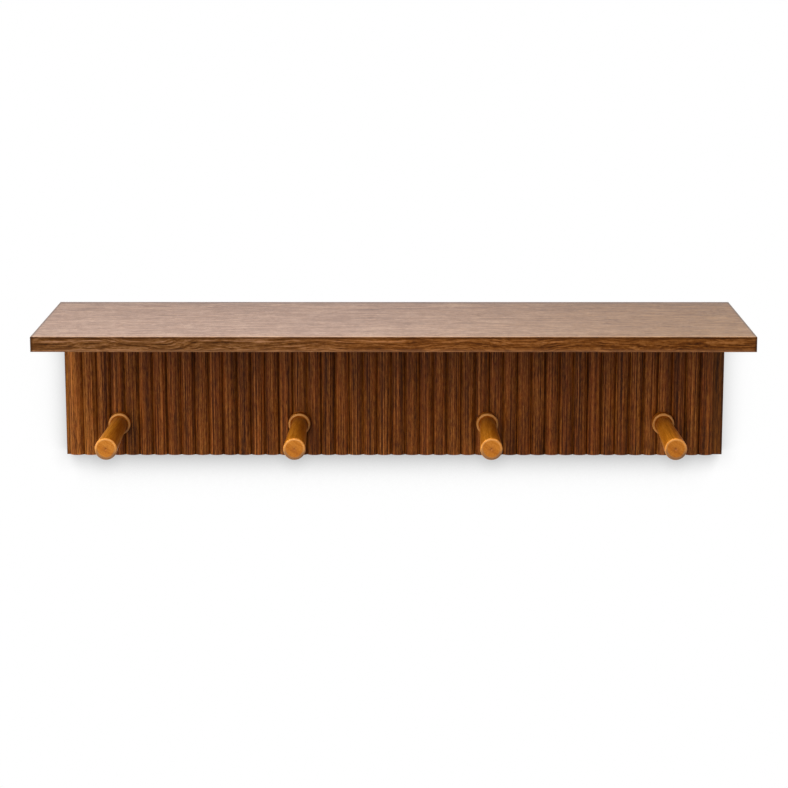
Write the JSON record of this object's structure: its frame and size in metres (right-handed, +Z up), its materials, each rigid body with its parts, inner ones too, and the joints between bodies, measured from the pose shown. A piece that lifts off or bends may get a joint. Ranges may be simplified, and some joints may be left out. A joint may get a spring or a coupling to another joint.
{
  "type": "shaker peg rail with shelf",
  "caption": "Wall-hung walnut shelf on a reeded rail, with a row of tapered turned pegs for coats and bags, hung on keyhole plates let into its back.",
  "frame": {"origin": "on the wall plane, midway between the centres of the two keyhole entry holes in the back", "axes": "+X along the rail, to the right as seen from the front; +Y into the wall, so the front faces -Y; +Z up"},
  "size_m": [0.6, 0.18, 0.137],
  "materials": {
    "walnut_shelf": "satin oiled walnut, straight grain along the shelf",
    "walnut_reed": "satin red-brown walnut, grain upright, the tone differs from slat to slat",
    "walnut_backing": "satin red-brown walnut, grain upright",
    "honey_peg": "honey-stained turned hardwood, semi-gloss lacquer",
    "beech_dowel": "plain beech",
    "keyhole_steel": "zinc-plated steel plate",
    "zinc_screw": "yellow-zinc screws"
  },
  "bodies": {
    "root": {"shelf_board": "walnut_shelf", "backing_board": "walnut_backing", "shelf_dowels": "beech_dowel", "reed_01": "walnut_reed", "reed_02": "walnut_reed", "reed_03": "walnut_reed", "reed_04": "walnut_reed", "reed_05": "walnut_reed", "reed_06": "walnut_reed", "reed_07": "walnut_reed", "reed_08": "walnut_reed", "reed_09": "walnut_reed", "reed_10": "walnut_reed", "reed_11": "walnut_reed", "reed_12": "walnut_reed", "reed_13": "walnut_reed", "reed_14": "walnut_reed", "reed_15": "walnut_reed", "reed_16": "walnut_reed", "reed_17": "walnut_reed", "reed_18": "walnut_reed", "reed_19": "walnut_reed", "reed_20": "walnut_reed", "reed_21": "walnut_reed", "reed_22": "walnut_reed", "reed_23": "walnut_reed", "reed_24": "walnut_reed", "reed_25": "walnut_reed", "reed_26": "walnut_reed", "reed_27": "walnut_reed", "reed_28": "walnut_reed", "reed_29": "walnut_reed", "reed_30": "walnut_reed", "reed_31": "walnut_reed", "reed_32": "walnut_reed", "reed_33": "walnut_reed", "reed_34": "walnut_reed", "reed_35": "walnut_reed", "reed_36": "walnut_reed", "reed_37": "walnut_reed", "reed_38": "walnut_reed", "reed_39": "walnut_reed", "reed_40": "walnut_reed", "reed_41": "walnut_reed", "reed_42": "walnut_reed", "reed_43": "walnut_reed", "reed_44": "walnut_reed", "reed_45": "walnut_reed", "reed_46": "walnut_reed", "peg_1": "honey_peg", "peg_2": "honey_peg", "peg_3": "honey_peg", "peg_4": "honey_peg", "peg_screws": "zinc_screw", "keyhole_plate_screws": "zinc_screw", "keyhole_plate_left": "keyhole_steel", "keyhole_plate_right": "keyhole_steel"}
  },
  "joints": []
}
